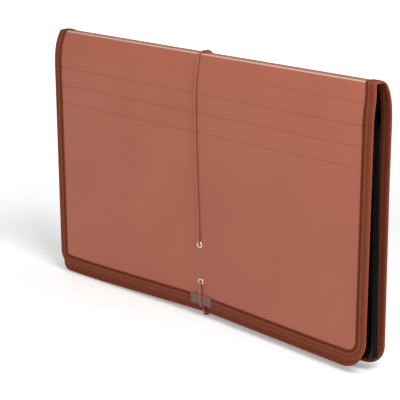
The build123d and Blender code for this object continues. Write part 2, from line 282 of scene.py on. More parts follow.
# %% Lamps
FILE_MIDDLE, FILE_TOP = mm(0, 0, 120), mm(0, 0, 200)


def softbox(name, place, target, width, height, watts):
    """A rectangular area lamp."""
    lamp = bpy.data.lights.new(name, "AREA")
    lamp.shape = "RECTANGLE"
    lamp.size, lamp.size_y, lamp.energy = width, height, watts
    aim(put(name, lamp), place, target)
    print("lamp", name, watts, "W")


softbox("key_box", mm(-260, -1700, 760), FILE_MIDDLE, width=1.0, height=0.8, watts=7.4)
softbox("side_box", mm(820, -330, 1250), FILE_MIDDLE, width=0.5, height=0.5, watts=14)
softbox("top_box", mm(-100, 250, 1500), FILE_TOP, width=1.6, height=0.6, watts=2)

# %% [markdown]
# The elastic draws the flap and the front panel in along their middle, so that their lower edges bend at
# the cord. In the drawing two flat triangles of each sheet lean in. Here the same two triangles are
# rounded a little where they meet, as a plastic sheet does, and one function moves every piece on those
# sheets.

# %% The bow that the elastic gives the flap and the front panel
FLAP_FOOT = 9.3
BOW, BOW_HALF_WIDTH, BOW_TOP = 0.0075, 0.165, 0.168
BOW_SOFT, BOW_ROUND = 0.06, 0.006


def bow(point):
    """How a point of the flap or the front panel moves."""
    aside = math.hypot(point.x, BOW_ROUND) - BOW_ROUND
    share = 1 - aside / BOW_HALF_WIDTH - point.z / BOW_TOP
    return Vector((0, BOW * (share + math.hypot(share, BOW_SOFT)) / 2, 0))


print("bow at the flap's lower edge", round(bow(mm(0, 0, FLAP_FOOT)).y / MM, 2), "mm")

# %% [markdown]
# Every piece is finished in the same way: normals are made to point out, its form is added if it has one,
# and edges sharper than a limit stay sharp while the rest is shaded smooth. The object itself stays at
# the origin.


# %% Finish a piece
def piece(name, bm, finishes, sharp=40, form=None):
    """Turn a bmesh into a named object with its finishes."""
    bmesh.ops.recalc_face_normals(bm, faces=bm.faces)
    if form:
        for v in bm.verts:
            v.co += form(v.co)
    made = put(name, bpy.data.meshes.new(name))
    bm.to_mesh(made.data)
    bm.free()
    made.data.shade_smooth()
    made.data.set_sharp_from_angle(angle=math.radians(sharp))
    for surface in finishes:
        made.data.materials.append(surface)
    print(name, len(made.data.polygons), "faces")
    return made


# %% [markdown]
# The sheet, the ribbon and the elastic all follow the same line: down the back one way, and over the
# crest and down the flap the other way. So the line is written once, as moves and turns, and a row of
# edges will be extruded along it. A move or a turn is taken in equal parts, and it knows its length.


# %% Moves and turns
class Step:
    """A straight move or a turn about a pivot, taken in equal parts. Its length is in metres."""

    def __init__(self, parts, length, shift=None, degrees=0.0, axis="X", pivot=None):
        self.parts, self.length = parts, length
        self.shift, self.degrees, self.axis, self.pivot = shift, degrees, axis, pivot

    def part(self, share):
        """The transform of a share of this step."""
        if self.shift is not None:
            return Matrix.Translation(self.shift * share)
        there = Matrix.Translation(self.pivot)
        turned = Matrix.Rotation(math.radians(self.degrees * share), 4, self.axis)
        return there @ turned @ there.inverted()

    def back(self):
        """The same step, the other way."""
        shift = None if self.shift is None else -self.shift
        return Step(self.parts, self.length, shift, -self.degrees, self.axis, self.pivot)


def move(x, y, z, parts=1):
    """A straight step, in millimetres."""
    return Step(parts, math.hypot(x, y, z) * MM, shift=mm(x, y, z))


def turn(degrees, axis, x, y, z, radius, parts):
    """A turn about a pivot. The radius gives the length along the middle of the piece."""
    return Step(parts, math.radians(abs(degrees)) * radius * MM, None, degrees, axis, mm(x, y, z))


def down(*heights):
    """Straight steps down through the given heights."""
    return [move(0, 0, low - high) for high, low in zip(heights, heights[1:])]


print("three heights make", len(down(30, 20, 10)), "steps")

# %% [markdown]
# The crest is a tight fold in front and a rounder one behind, and two wide arches lead from them to the
# upright sheets. The line is cut halfway between creases, so each length holds one crease only.
# Rows lie close together at a crease, where the score line is pressed and the sheet bends.

# %% The file's line
CREST_MIDDLE, CREST_TOP = -0.3, 240.0
ARCH_FOOT, ARCH_RADIUS = 206, 103
ARCH_BACK, ARCH_FRONT = -91.7, 91.1
CREASE_2, CREASE_3, CREASE_4 = 206, 189, 172
CUT_2, CUT_3 = 197.5, 180.5
REAR_ROUND, REAR_PIVOT, REAR_RADIUS = 73.53, (0, 1.32, 233.5), 6
FRONT_ROUND, FRONT_PIVOT, FRONT_RADIUS = 71.5, (0, -5.439, 238.301), 1.2


def arch(degrees, parts):
    """A turn along the crest's arch, in front with more than 0 degrees and behind with less."""
    middle = ARCH_FRONT if degrees > 0 else ARCH_BACK
    return turn(degrees, "X", 0, middle, ARCH_FOOT, ARCH_RADIUS, parts)


def close_rows(crease):
    """Heights from 3 mm above a crease to 3 mm below it."""
    return [crease + away for away in (3, 2, 0.9, 0.45, 0, -0.45, -0.9, -2, -3)]


rear_fold = [
    move(0, 1.62, 0),
    turn(-REAR_ROUND, "X", *REAR_PIVOT, REAR_RADIUS, 12),
    arch(REAR_ROUND - 90, 9),
]
front_fold = [
    move(0, -5.139, 0, 2),
    turn(FRONT_ROUND, "X", *FRONT_PIVOT, FRONT_RADIUS, 8),
    arch(8.5, 6),
    arch(1.0, 4),
    arch(4.0, 3),
]
strip_1_line = [arch(3.0, 3), arch(1.5, 3), arch(0.5, 2)] + down(*close_rows(CREASE_2)[4:], CUT_2)
strip_2_line = down(CUT_2, *close_rows(CREASE_3), CUT_3)
flap_top_line = down(CUT_3, *close_rows(CREASE_4))
print("line cut into", len(rear_fold), len(front_fold), len(strip_1_line), len(strip_2_line), "steps")

# %% [markdown]
# Extruding a row of edges makes new edges at its far side. They are the start of the next part, so a few
# lines of code can follow the whole line. Where a piece carries a "run" layer, the length travelled is
# written to it, for ribs and braid that follow the piece.


# %% Extrude along the line
def follow(bm, edges, steps):
    """Extrude edges through the steps."""
    run = bm.verts.layers.float.get("run")
    for step in steps:
        for _ in range(step.parts):
            grown = bmesh.ops.extrude_edge_only(bm, edges=edges)["geom"]
            fresh = {g for g in grown if isinstance(g, bmesh.types.BMVert)}
            bmesh.ops.transform(bm, matrix=step.part(1 / step.parts), verts=list(fresh))
            if run:
                for v in fresh:
                    v[run] += step.length / step.parts
            edges = [g for g in grown if isinstance(g, bmesh.types.BMEdge) and fresh.issuperset(g.verts)]


def close_ends(bm):
    """Cap every open end."""
    bmesh.ops.holes_fill(bm, edges=[e for e in bm.edges if e.is_boundary], sides=0)


print("a length over the crest is", round(sum(step.length for step in front_fold) / MM, 1), "mm long")

# %% [markdown]
# The cover is satin polypropylene in a warm terracotta. It has a fine, even grain from the roller, a
# faint cloudiness, and a sheen that is a little uneven where hands have touched it. Three noises do this:
# a wide one for the colour, a middle one for the roughness and a fine one for the grain. Along the front
# of the crest, where the sheet is folded hardest, a pale line is painted on as a highlight. The place on
# the piece gives that line.

# %% Cover finish
# The pale line along the crest's front crease is a painted highlight.
HIGHLIGHT_HEIGHT, HIGHLIGHT_FRONT = (0.2388, 0.2394), (-0.0046, -0.0054)
PAINTED_HIGHLIGHT = (0.24, 0.23, 0.2)
cover_finish, tree, shader = finish("satin_cover_sheet", srgb(168, 95, 73), 0.42, Specular_IOR_Level=0.3)
colour = shades(tree, noise(tree, 14, 4), (0.3, srgb(165, 93, 71)), (0.7, srgb(172, 98, 76)))
place = add(tree, "SeparateXYZ", Vector=place_on(tree))
high = spread(tree, place.outputs["Z"], 0.0, 1.0, *HIGHLIGHT_HEIGHT)
front = spread(tree, place.outputs["Y"], 0.0, 1.0, *HIGHLIGHT_FRONT)
# Where both ranges meet, the front crease gets its painted highlight, added to the colour.
highlight_mask = math_node(tree, "MULTIPLY", high, front)
painted_highlight = add(tree, "VectorMath", {"operation": "SCALE"}, a=PAINTED_HIGHLIGHT, Scale=highlight_mask).outputs[0]
colour = add(tree, "VectorMath", {"operation": "ADD"}, a=colour, b=painted_highlight).outputs[0]
tree.links.new(colour, shader.inputs["Base Color"])
tree.links.new(spread(tree, noise(tree, 45, 3), 0.36, 0.5), shader.inputs["Roughness"])
relief(tree, shader, noise(tree, 1500, 2), 0.05, 0.0004)
print("finish", cover_finish.name)

# %% [markdown]
# The cover sheet starts as a row of edges across the file. Score lines are pressed into it as shallow
# grooves where the rows are close together. Its square lower corners are taken out in two steps, because
# the rounded ribbon covers them, so each sheet ends with the same three rows.

# %% Rows, score lines and corners of the sheet
HALF_WIDTH, SHEET_INSET = 188.0, 0.6
SHEET_HALF, OUTER_COLUMN, INNER_COLUMN = HALF_WIDTH - SHEET_INSET, 178.4, 168
COLUMNS = [-SHEET_HALF, -OUTER_COLUMN, *range(-INNER_COLUMN, INNER_COLUMN + 1, 12)]
COLUMNS += [OUTER_COLUMN, SHEET_HALF]
HIGH_ROW, LOW_ROW = 20, 9
SCORES = [223, CREASE_2, CREASE_3, CREASE_4]
SCORE_DEPTH, SCORE_HALF_WIDTH = 0.38, 0.9


def across(bm, y, z):
    """A row of edges across the file."""
    row = [bm.verts.new(mm(x, y, z)) for x in COLUMNS]
    return [bm.edges.new(pair) for pair in zip(row, row[1:])]


def press_scores(bm):
    """Press the score lines into the front of the sheet."""
    for v in bm.verts:
        for score in SCORES:
            near = 1 - abs(v.co.z / MM - score) / SCORE_HALF_WIDTH
            if near > 0 and v.co.y < 0:
                v.co.y += SCORE_DEPTH * MM * near


def to_foot(bottom):
    """The last rows of a sheet, which its corners are cut at."""
    return [bottom + HIGH_ROW, bottom + LOW_ROW, bottom]


def drop_corners(bm, bottom):
    """Take out the faces at the two lower corners, in steps that the round ribbon covers."""
    gone = []
    for f in bm.faces:
        middle = f.calc_center_median() / MM
        out, up = abs(middle.x), middle.z - bottom
        if (out > INNER_COLUMN and up < LOW_ROW) or (out > OUTER_COLUMN and up < HIGH_ROW):
            gone.append(f)
    bmesh.ops.delete(bm, geom=gone, context="FACES")


print("a row has", len(COLUMNS) - 1, "edges")

# %% [markdown]
# Soft sheets are not as straight as a drawing. The crest's ends are drawn in by their ribbon, the back's
# lower corners curl up a little from the table, its edge has a dent where the elastic passes under it,
# and the flap's edge is pulled up from the cord to the right. Each is a small function of the place, so
# that the sheet and its ribbon move as one.

# %% Forms of the crest, the back and the flap
CREST_FOOT, CREST_PULL = 0.222, 0.016
CURL, CURL_FROM, CURL_TOP = 0.0055, 0.11, 0.08
DENT, DENT_HALF_WIDTH, DENT_TOP = 0.003, 0.005, 0.0095
WIDEN, WIDEN_TOP = 0.01, 0.16
PULL, PULL_FROM, PULL_TOP = 0.0032, -0.13, 0.045


def rise(value, zero, one):
    """0 up to one value, then straight up to 1 at another value and on."""
    return max(0.0, (value - zero) / (one - zero))


def crest_form(point):
    """How the crest's two ends are drawn in by their ribbon."""
    high = rise(point.z, CREST_FOOT, CREST_TOP * MM)
    return Vector((-CREST_PULL * point.x * high * high, 0, 0))


def back_form(point):
    """How the back moves: like the crest above, curled at its corners and dented over the cord."""
    out = rise(abs(point.x), CURL_FROM, HALF_WIDTH * MM)
    curl = CURL * out * out * rise(point.z, CURL_TOP, 0)
    near = rise(abs(point.x), DENT_HALF_WIDTH, 0)
    dent = DENT * near * near * (3 - 2 * near) * rise(point.z, DENT_TOP, 0)
    wider = WIDEN * max(0.0, point.x) * rise(point.z, WIDEN_TOP, 0)
    return crest_form(point) + Vector((wider, 0, curl + dent))


def flap_form(point):
    """How a point of the flap moves: drawn in, and its lower edge pulled up from the cord to the right."""
    pulled = min(1.0, rise(point.x, PULL_FROM, 0))
    return bow(point) + Vector((0, 0, PULL * pulled * rise(point.z, PULL_TOP, 0)))


print("the back's corner is lifted by", round(back_form(mm(HALF_WIDTH, 0, 0)).z / MM, 2), "mm")

# %% [markdown]
# The cover sheet is one millimetre thick. The row is extruded along the line at its outer face, and
# solidify then gives the sheet its thickness on the inner side. Solidify goes by the normals, so they are
# turned first, towards a point far outside.

# %% A length of sheet
SHEET = 1.0
FAR_OUT, FAR_UP = 40, 400


def thicken(bm, outside):
    """Give an open sheet its thickness, on the side away from a point outside it."""
    bmesh.ops.recalc_face_normals(bm, faces=bm.faces)
    bm.faces.ensure_lookup_table()
    first = bm.faces[0]
    if first.normal.dot(outside - first.calc_center_median()) < 0:
        bmesh.ops.reverse_faces(bm, faces=bm.faces)
    bmesh.ops.solidify(bm, geom=bm.faces[:], thickness=SHEET * MM)


def sheet_length(name, start, steps, replaced, bottom=None, form=None):
    """One length of the cover sheet, extruded from a row at its start."""
    bm = bmesh.new()
    follow(bm, across(bm, *start), steps)
    press_scores(bm)
    if bottom is not None:
        drop_corners(bm, bottom)
    thicken(bm, mm(0, start[0] * FAR_OUT, FAR_UP))
    made = piece(name, bm, [cover_finish], form=form)
    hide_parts(*replaced)
    return made


print("sheet is", SHEET, "mm thick")

# %% [markdown]
# Five lengths make the cover: the back, the crest, two strips of the flap, and the flap itself. The back
# and the crest start from the same row on top, and the first strip starts on the arch in front.

# %% Cover sheet
FLAP_FACE = -12.4
CUT_LEAN = math.radians(5.0)


def arch_point(radius):
    """Where the front arch is cut between the crest and the first strip, as y and z."""
    return ARCH_FRONT - radius * math.cos(CUT_LEAN), ARCH_FOOT + radius * math.sin(CUT_LEAN)


crest_start = (CREST_MIDDLE, CREST_TOP)
back_rows = [ARCH_FOOT, *range(190, 49, -20), 35, *to_foot(SHEET_INSET)]
cover_back = sheet_length(
    "cover_back", crest_start, rear_fold + down(*back_rows), ["back_panel"], SHEET_INSET, back_form
)
cover_crest = sheet_length("cover_crest", crest_start, front_fold, ["spine"], form=crest_form)
cover_strip_1 = sheet_length(
    "cover_strip_1", arch_point(ARCH_RADIUS + SHEET / 2), strip_1_line, ["flap_strip_1"]
)
cover_strip_2 = sheet_length("cover_strip_2", (FLAP_FACE, CUT_2), strip_2_line, ["flap_strip_2"])
flap_bottom = FLAP_FOOT + SHEET_INSET
cover_flap = sheet_length(
    "cover_flap",
    (FLAP_FACE, CUT_3),
    flap_top_line + down(*range(169, 48, -12), 38, *to_foot(flap_bottom)),
    ["flap_strip_3", "flap_panel"],
    flap_bottom,
    flap_form,
)

# %% [markdown]
# The sheet bends at its creases. Here the transform of each length is baked into its mesh, and the same
# five calls serve the sheet, the ribbon and the elastic.


# %% Bake the lengths in place
def bend_rear(made):
    """Bake the place of a length at the crest's rear crease into its mesh."""
    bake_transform(made)


def bend_front(made):
    """Bake the place of a length at the crest's front crease into its mesh."""
    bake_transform(made)


def bend_at(made):
    """Bake the place of a length at a crease of the upright flap into its mesh."""
    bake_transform(made)


def bend_all(back, crest, strip_1, strip_2, flap):
    """Bake the five lengths of one piece in place, one by one."""
    bend_rear(back)
    bend_front(crest)
    bend_at(strip_1)
    bend_at(strip_2)
    bend_at(flap)


bend_all(cover_back, cover_crest, cover_strip_1, cover_strip_2, cover_flap)

# %% [markdown]
# The ribbon is a brown grosgrain: fine ribs run across it, and it is folded over the edge and sewn. Its
# ribs follow the ribbon, so the material reads the "run" layer, which holds the length along it, and the
# "across" layer, which holds the distance from the folded edge. A ramp over that distance paints a
# highlight along the fold, where the ribbon also rubs pale, a fainter highlight on its crown, shade in the
# sunken seam, and a dark line in the ribbon's middle.

# %% Ribbon finish
RIB_PITCH = 0.0012
RIBBON_WIDTH = 10.0


def attribute(tree, name):
    """A layer of the piece's points, as a socket."""
    return add(tree, "Attribute", {"attribute_name": name}).outputs["Fac"]


def turns(tree, length, pitch):
    """A length as an angle that goes once round in each pitch, as a socket."""
    return math_node(tree, "MULTIPLY", length, 2 * math.pi / pitch)


ribbon_finish, tree, shader = finish(
    "grosgrain_ribbon",
    srgb(134, 68, 46),
    0.8,
    Specular_IOR_Level=0.12,
    Sheen_Weight=0.04,
    Sheen_Roughness=0.45,
)
shader.inputs["Sheen Tint"].default_value = (*srgb(214, 160, 138), 1)
ribs = math_node(tree, "SINE", turns(tree, attribute(tree, "run"), RIB_PITCH))
ribs = spread(tree, ribs, 0.0, 1.0, -1.0, 1.0)
worn = math_node(tree, "MULTIPLY", ribs, spread(tree, noise(tree, 260, 4), 0.45, 1.1))
# This ramp paints light and shade across the ribbon: a highlight along the fold, where it also rubs pale,
# a fainter highlight on the crown and shade in the seam's groove, with a dark line in the middle.
rub_and_painted_light_bands = shades(
    tree,
    math_node(tree, "MULTIPLY", attribute(tree, "across"), 1 / (RIBBON_WIDTH * MM)),
    (0.0, (1.6, 1.6, 1.6)),
    (0.07, (1.2, 1.18, 1.16)),
    (0.2, (1.02, 1.0, 0.98)),
    (0.33, (1.0, 0.97, 0.95)),
    (0.39, (0.55, 0.5, 0.47)),
    (0.45, (1.06, 1.04, 1.02)),
    (0.64, (1.1, 1.08, 1.06)),
    (0.72, (0.95, 0.92, 0.9)),
    # Painted shade in the seam's groove.
    (0.77, (0.42, 0.36, 0.33)),
    (0.87, (0.4, 0.34, 0.31)),
    (0.93, (0.9, 0.88, 0.86)),
)
dyed = shades(tree, worn, (0.05, srgb(108, 51, 32)), (0.5, srgb(136, 69, 46)), (1.0, srgb(156, 84, 59)))
mixed = add(tree, "VectorMath", {"operation": "MULTIPLY"}, a=dyed, b=rub_and_painted_light_bands).outputs[0]
tree.links.new(mixed, shader.inputs["Base Color"])
relief(tree, shader, worn, 0.7, 0.0005)

thread_finish, tree, shader = finish("sewing_thread", srgb(112, 52, 34), 0.75, Specular_IOR_Level=0.2)
relief(tree, shader, noise(tree, 2600, 2), 0.4, 0.0002)
print("finish", ribbon_finish.name, "and", thread_finish.name)

# %% [markdown]
# The ribbon's section is a soft U that hugs the sheet: a rounded fold, a slight crown, a groove where the
# needle pulls it down, and an inner edge that stands up a little. It is drawn once, as pairs of the
# distance from the folded edge and the height over the sheet's middle, and extruded along the same line.

# %% Ribbon section
RIBBON_FACE = [
    (RIBBON_WIDTH, 0.52), (RIBBON_WIDTH, 0.84), (9.7, 1.04), (9.0, 1.1), (8.2, 0.9), (7.4, 1.1),
    (5.0, 1.18), (2.6, 1.12), (1.0, 1.0), (0.25, 0.68), (0.0, 0.25),
]
RIBBON_INSIDE = [(0.62, -0.5), (0.62, 0.5)]


def layer(bm, name):
    """A named number on every point, made where it is missing."""
    return bm.verts.layers.float.get(name) or bm.verts.layers.float.new(name)


def closed(bm, ring):
    """Edges from point to point, and back to the first."""
    return [bm.edges.new(pair) for pair in zip(ring, ring[1:] + ring[:1])]


def ribbon_section(bm, edge, inward, outward):
    """The U of the ribbon round a sheet's edge, as a ring of edges."""
    run, across_it = layer(bm, "run"), layer(bm, "across")
    outline = RIBBON_FACE + [(d, -n) for d, n in reversed(RIBBON_FACE)] + RIBBON_INSIDE
    ring = []
    for d, n in outline:
        v = bm.verts.new(edge + (inward * d + outward * n) * MM)
        v[run], v[across_it] = 0.0, d * MM
        ring.append(v)
    return closed(bm, ring)


print("ribbon section of", 2 * len(RIBBON_FACE) + len(RIBBON_INSIDE), "points")

# %% [markdown]
# The seam is a row of short stitches in the groove, on both faces. Each stitch is a small six-sided
# spindle, because there are hundreds of them. They are placed by walking along the same steps, and they
# belong to the ribbon's mesh, so that they bend with it.

# %% Stitches
STITCH_PITCH = 0.0034
STITCH_SIZE = (0.00125, 0.00028, 0.00026, 1)
STITCH_IN, STITCH_OUT = 8.2, 1.04


def sew(bm, edge, inward, outward, heading, steps):
    """Stitches along a ribbon's groove, on both faces."""
    seam = bmesh.new()
    stand = Matrix((heading, inward, outward)).transposed().to_4x4() @ Matrix.Diagonal(STITCH_SIZE)
    done, gap = Matrix.Identity(4), STITCH_PITCH / 2
    for step in steps:
        while gap < step.length:
            way = step.part(gap / step.length) @ done
            for face in (1, -1):
                spot = Matrix.Translation(edge + (inward * STITCH_IN + outward * face * STITCH_OUT) * MM)
                bmesh.ops.create_uvsphere(
                    seam, u_segments=6, v_segments=4, radius=1.0, matrix=way @ spot @ stand
                )
            gap += STITCH_PITCH
        gap -= step.length
        done = step.part(1.0) @ done
    for f in seam.faces:
        f.material_index = 1
    sewn = bpy.data.meshes.new("seam")
    seam.to_mesh(sewn)
    seam.free()
    bm.from_mesh(sewn)
    bpy.data.meshes.remove(sewn)


print("stitches every", STITCH_PITCH / MM, "mm")

# %% [markdown]
# The ribbon of the back and of the flap goes down one side, round the corner, along the bottom and up the
# other side, so its line is the sheet's line, then two corners, then the same line backwards. At a corner
# it is turned about the corner's centre. Rows lie close together at the elastic, which dents it.

# %% Ribbon round the bottom
ALONG_BOTTOM = [*range(-165, -29, 15), -18, -10, -6, -4, -2.6, -1.4, 0]
ALONG_BOTTOM += [-x for x in reversed(ALONG_BOTTOM[:-1])]


def round_bottom(bottom, left, right):
    """From the left side, round the corner, along the bottom and round the other corner."""
    stops = [left - HALF_WIDTH, *ALONG_BOTTOM, HALF_WIDTH - right]
    middle = [move(b - a, 0, 0) for a, b in zip(stops, stops[1:])]
    first = turn(-90, "Y", stops[0], 0, bottom + left, left - RIBBON_WIDTH / 2, 9)
    last = turn(-90, "Y", stops[-1], 0, bottom + right, right - RIBBON_WIDTH / 2, 9)
    return [first] + middle + [last]


def there_and_back(rows, bottom, left, right, lead=()):
    """Along a lead and down through the rows, round the bottom and the same way up the other side."""
    there = [*lead, *down(*rows, bottom + left)]
    back = [*lead, *down(*rows, bottom + right)]
    return there + round_bottom(bottom, left, right) + [step.back() for step in reversed(back)]


def ribbon_length(name, edges, outward, heading, steps, replaced, form=None):
    """One length of ribbon. Edges are (point, inward) pairs, for one side or both."""
    bm = bmesh.new()
    for edge, inward in edges:
        follow(bm, ribbon_section(bm, edge, inward, outward), steps)
    close_ends(bm)
    for edge, inward in edges:
        sew(bm, edge, inward, outward, heading, steps)
    made = piece(name, bm, [ribbon_finish, thread_finish], sharp=55, form=form)
    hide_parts(*replaced)
    return made


print("the bottom is followed in", len(round_bottom(0, 17, 17)), "steps")

# %% [markdown]
# The five lengths of the cover's ribbon are cut where the sheet is cut. The back's corners and the flap's
# two corners are not cut equally round, so each corner has its own radius.

# %% Ribbon of the cover
RIGHT, LEFT, UP, DOWN = Vector((1, 0, 0)), Vector((-1, 0, 0)), Vector((0, 0, 1)), Vector((0, 0, -1))
FRONT, REAR = Vector((0, -1, 0)), Vector((0, 1, 0))
FLAP_MIDDLE = FLAP_FACE + SHEET / 2
BACK_CORNERS, FLAP_CORNERS = (17, 17), (12, 19)
LEG_ROWS = [190, 165, 140, 115, 90, 65, 40, 25]
FLAP_ROWS = [169, 145, 120, 95, 70, 45, 32]


def both_sides(y, z):
    """The two edges of the file at one height."""
    return [(mm(-HALF_WIDTH, y, z), RIGHT), (mm(HALF_WIDTH, y, z), LEFT)]


crest_edges = both_sides(CREST_MIDDLE, CREST_TOP - SHEET / 2)
back_way = there_and_back([ARCH_FOOT, *LEG_ROWS], 0, *BACK_CORNERS, rear_fold)
ribbon_back = ribbon_length(
    "ribbon_back", crest_edges[:1], UP, REAR, back_way, ["back_binding"], back_form
)
ribbon_crest = ribbon_length(
    "ribbon_crest", crest_edges, UP, FRONT, front_fold, ["spine_binding"], crest_form
)
arch_out = Vector((0, -math.cos(CUT_LEAN), math.sin(CUT_LEAN)))
arch_down = Vector((0, -arch_out.z, arch_out.y))
arch_edges = both_sides(*arch_point(ARCH_RADIUS))
ribbon_strip_1 = ribbon_length(
    "ribbon_strip_1", arch_edges, arch_out, arch_down, strip_1_line, ["flap_strip_1_binding"]
)
ribbon_strip_2 = ribbon_length(
    "ribbon_strip_2", both_sides(FLAP_MIDDLE, CUT_2), FRONT, DOWN, strip_2_line, ["flap_strip_2_binding"]
)
ribbon_flap = ribbon_length(
    "ribbon_flap",
    both_sides(FLAP_MIDDLE, CUT_3)[:1],
    FRONT,
    DOWN,
    there_and_back(FLAP_ROWS, FLAP_FOOT, *FLAP_CORNERS, flap_top_line),
    ["flap_strip_3_binding", "flap_binding"],
    flap_form,
)
bend_all(ribbon_back, ribbon_crest, ribbon_strip_1, ribbon_strip_2, ribbon_flap)

# %% [markdown]
# The front panel is the same sheet with the same ribbon, and it stands on the table behind the flap. Its
# right side is a little narrower than the flap, so the closed flap hides it, and its left side a little
# wider. The sides are shifted as they are, so that the ribbon keeps its width.

# %% Front panel
FRONT_FACE, FRONT_TOP = -8.1, 204.0
FRONT_CORNERS = (8, 21)
NARROWER = {1: 0.0057, -1: -0.0014}
SHIFT_FROM, SHIFT_ALL = 0.04, 0.178


def front_form(point):
    """How a point of the front panel moves: like the flap, and each side shifted."""
    side = 1 if point.x > 0 else -1
    share = min(1.0, rise(abs(point.x), SHIFT_FROM, SHIFT_ALL))
    return flap_form(point) + Vector((-side * NARROWER[side] * share, 0, 0))


front_rows = [FRONT_TOP, 190, *range(168, 35, -12), *to_foot(SHEET_INSET)]
front_sheet = sheet_length(
    "front_sheet", (FRONT_FACE, FRONT_TOP), down(*front_rows), ["front_panel"], SHEET_INSET, front_form
)
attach(front_sheet, "front")
ribbon_front = ribbon_length(
    "ribbon_front",
    both_sides(FRONT_FACE + SHEET / 2, FRONT_TOP)[:1],
    FRONT,
    DOWN,
    there_and_back([FRONT_TOP, *LEG_ROWS], 0, *FRONT_CORNERS),
    ["front_binding"],
    front_form,
)
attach(ribbon_front, "front")

# %% [markdown]
# The pleats and dividers are black film: satin, slightly oily where it folds. Two near blacks keep it
# from being one flat black, and a fine grain breaks up its highlights. The dividers are a thicker sheet of
# the same kind, a shade lighter. Where the film is creased round their edges it shines a little more, and
# its colour there is a little lighter than the pleats' as a painted highlight along the folds.


# %% Film finishes
def film(name, dark, pale, gloss, shine):
    """A black film between two shades, with its roughness and its shine."""
    made, tree, shader = finish(name, dark, gloss, Specular_IOR_Level=shine)
    colour = shades(tree, noise(tree, 30, 5, 0.6), (0.35, dark), (0.75, pale))
    tree.links.new(colour, shader.inputs["Base Color"])
    uneven = spread(tree, noise(tree, 120, 3), gloss - 0.06, gloss + 0.1)
    tree.links.new(uneven, shader.inputs["Roughness"])
    relief(tree, shader, noise(tree, 900, 3), 0.08, 0.0004)
    print("finish", name)
    return made


pleat_finish = film("black_pleat_film", srgb(4, 4, 4), srgb(9, 8, 8), 0.34, 0.08)
divider_finish = film("black_divider_sheet", srgb(12, 11, 11), srgb(20, 19, 19), 0.42, 0.08)
# The creased film is a little lighter than the pleat film: a painted highlight along the folds, besides its
# shine.
fold_finish = film("creased_film_edge", srgb(8, 8, 8), srgb(16, 15, 15), 0.26, 0.3)

# %% [markdown]
# The dividers keep their CAD shapes and get their finish. The film that makes the pleats is one long
# piece: it wraps round each divider's outer edges and stands out there in a flat loop, which closes the
# file's sides with black. Each loop is a cylinder, flattened, and drawn in towards its upper end.

# %% Dividers and the film's loops
DIVIDERS = range(1, 5)
LOOP_RADIUS, LOOP_REACH = 0.00042, 0.004
LOOP_MIDDLE, LOOP_LENGTH = 0.1065, 0.191
LOOP_TOP = LOOP_MIDDLE + LOOP_LENGTH / 2
LOOP_START, LOOP_DRAWN = 0.177, 0.8


def coat(node, made):
    """Give a CAD node one finish."""
    frame["nodes"][node].data.materials.clear()
    frame["nodes"][node].data.materials.append(made)


def loop_form(point):
    """How a loop of film is drawn in towards its upper end."""
    outside = max(0.0, abs(point.x) - LOOP_START)
    return Vector((-math.copysign(LOOP_DRAWN * outside, point.x) * point.z / LOOP_TOP, 0, 0))


flatten = Matrix.Scale(LOOP_REACH / LOOP_RADIUS, 4, RIGHT)
for count in DIVIDERS:
    coat(f"divider_{count}", divider_finish)
    low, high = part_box(f"divider_{count}")
    bm = bmesh.new()
    for side in (low.x - LOOP_REACH, high.x + LOOP_REACH):
        spot = Matrix.Translation((side, (low.y + high.y) / 2, LOOP_MIDDLE))
        bmesh.ops.create_cone(
            bm,
            cap_ends=True,
            segments=16,
            radius1=LOOP_RADIUS,
            radius2=LOOP_RADIUS,
            depth=LOOP_LENGTH,
            matrix=spot @ flatten,
        )
    fold = piece(f"divider_fold_{count}", bm, [fold_finish], form=loop_form)
    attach(fold, f"leaf_{count}")

# %% [markdown]
# The pleats keep their CAD shapes too. Their film is welded to the inside of the back and of the front
# panel, along both sides, so the faces there get the film's finish as a second material.

# %% Pleats and welded film
WELD_FROM = 0.16
INNER_FACE = 0.8

for pocket in range(1, 6):
    for place in ("rear", "front"):
        for side in ("left", "right", "base"):
            coat(f"pleat_{side}_{pocket}_{place}", pleat_finish)

for sheet, inside in ((cover_back, -1), (front_sheet, 1)):
    sheet.data.materials.append(pleat_finish)
    welded = 0
    for face in sheet.data.polygons:
        if abs(face.center.x) > WELD_FROM and face.normal.y * inside > INNER_FACE:
            face.material_index = 1
            welded += 1
    print(sheet.name, "has", welded, "faces under welded film")

# %% [markdown]
# Each divider has an index tab: a clear sleeve with a blank card in it. Both are plates with rounded
# corners, made from a cube whose four short edges are bevelled, and the card is the smaller one.

# %% Index tabs
SLEEVE_CORNER, CARD_CORNER = 0.002, 0.0008
CARD_INSET_LOW, CARD_INSET_HIGH = mm(2.2, 0.14, 2.4), mm(2.2, 0.14, 1.6)
sleeve_finish, tree, shader = finish(
    "clear_sleeve", (0.95, 0.95, 0.95), 0.12, Transmission_Weight=0.9, IOR=1.45
)
relief(tree, shader, noise(tree, 60, 2), 0.08, 0.001)
card_finish, tree, shader = finish("blank_card", srgb(236, 232, 222), 0.7)
fibres = shades(tree, noise(tree, 700, 4), (0.3, srgb(228, 224, 214)), (0.7, srgb(242, 238, 229)))
tree.links.new(fibres, shader.inputs["Base Color"])
relief(tree, shader, noise(tree, 1800, 2), 0.1, 0.0002)


def soften(bm, edges, offset, segments):
    """Bevel edges into round ones."""
    bmesh.ops.bevel(
        bm, geom=edges, offset=offset, affect="EDGES", segments=segments, profile=0.5, material=-1
    )


def slip(bm, low, high, corner):
    """A plate between two corners, upright in the file, with rounded corners."""
    made = bmesh.ops.create_cube(bm, size=1.0)["verts"]
    bmesh.ops.scale(bm, verts=made, vec=high - low)
    bmesh.ops.translate(bm, verts=made, vec=(low + high) / 2)
    soften(bm, [e for e in bm.edges if abs(e.verts[0].co.y - e.verts[1].co.y) > 1e-5], corner, 5)


